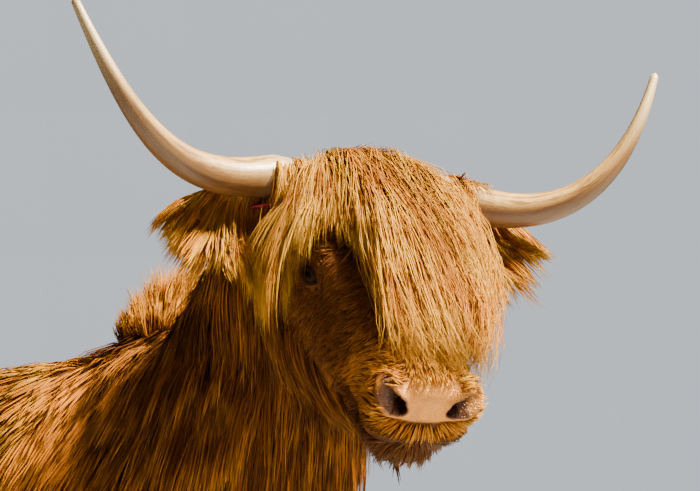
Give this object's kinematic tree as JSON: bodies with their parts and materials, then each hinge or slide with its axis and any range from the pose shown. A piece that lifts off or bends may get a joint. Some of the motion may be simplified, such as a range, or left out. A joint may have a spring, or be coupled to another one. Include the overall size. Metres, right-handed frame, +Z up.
{
  "type": "highland cow",
  "caption": "Life-size still model of a highland cow: long shaggy ginger coat, fringe over the brow, wide upswept horns, head raised and turned to its right, plain tag in one ear.",
  "frame": {"origin": "on the floor under the middle of the whole animal's bounding box, horns and tail included", "axes": "+Z up from the soles, -Y the way the body faces, +X the animal's left side"},
  "size_m": [0.8788, 2.1898, 1.5932],
  "materials": {
    "coat": "long soft hair",
    "long_coat": "long soft hair, darker in its depth",
    "horn": "smooth ivory horn, tan below",
    "eye": "wet",
    "bare_nose": "moist bare skin",
    "bare_skin": "thinly haired skin",
    "hoof": "dull horn",
    "tag": "plain moulded plastic"
  },
  "bodies": {
    "root": {"claw_foreleg_left_inner": "hoof", "claw_foreleg_left_outer": "hoof", "claw_foreleg_right_inner": "hoof", "claw_foreleg_right_outer": "hoof", "claw_hindleg_left_inner": "hoof", "claw_hindleg_left_outer": "hoof", "claw_hindleg_right_inner": "hoof", "claw_hindleg_right_outer": "hoof", "dewclaw_foreleg_left_inner": "hoof", "dewclaw_foreleg_left_outer": "hoof", "dewclaw_foreleg_right_inner": "hoof", "dewclaw_foreleg_right_outer": "hoof", "dewclaw_hindleg_left_inner": "hoof", "dewclaw_hindleg_left_outer": "hoof", "dewclaw_hindleg_right_inner": "hoof", "dewclaw_hindleg_right_outer": "hoof", "ear_left": "coat", "ear_right": "coat", "ear_tag": "tag", "eye_left": "eye", "eye_right": "eye", "foreleg_lower_left": "coat", "foreleg_lower_right": "coat", "foreleg_upper_left": "coat", "foreleg_upper_right": "coat", "forelock": "coat", "head": "coat", "hindleg_lower_left": "coat", "hindleg_lower_right": "coat", "hindleg_upper_left": "coat", "hindleg_upper_right": "coat", "horn_left": "horn", "horn_right": "horn", "jaw": "coat", "neck": "long_coat", "nose": "bare_nose", "tail_dock": "coat", "tail_switch": "long_coat", "trunk": "coat", "udder": "bare_skin"}
  },
  "joints": []
}
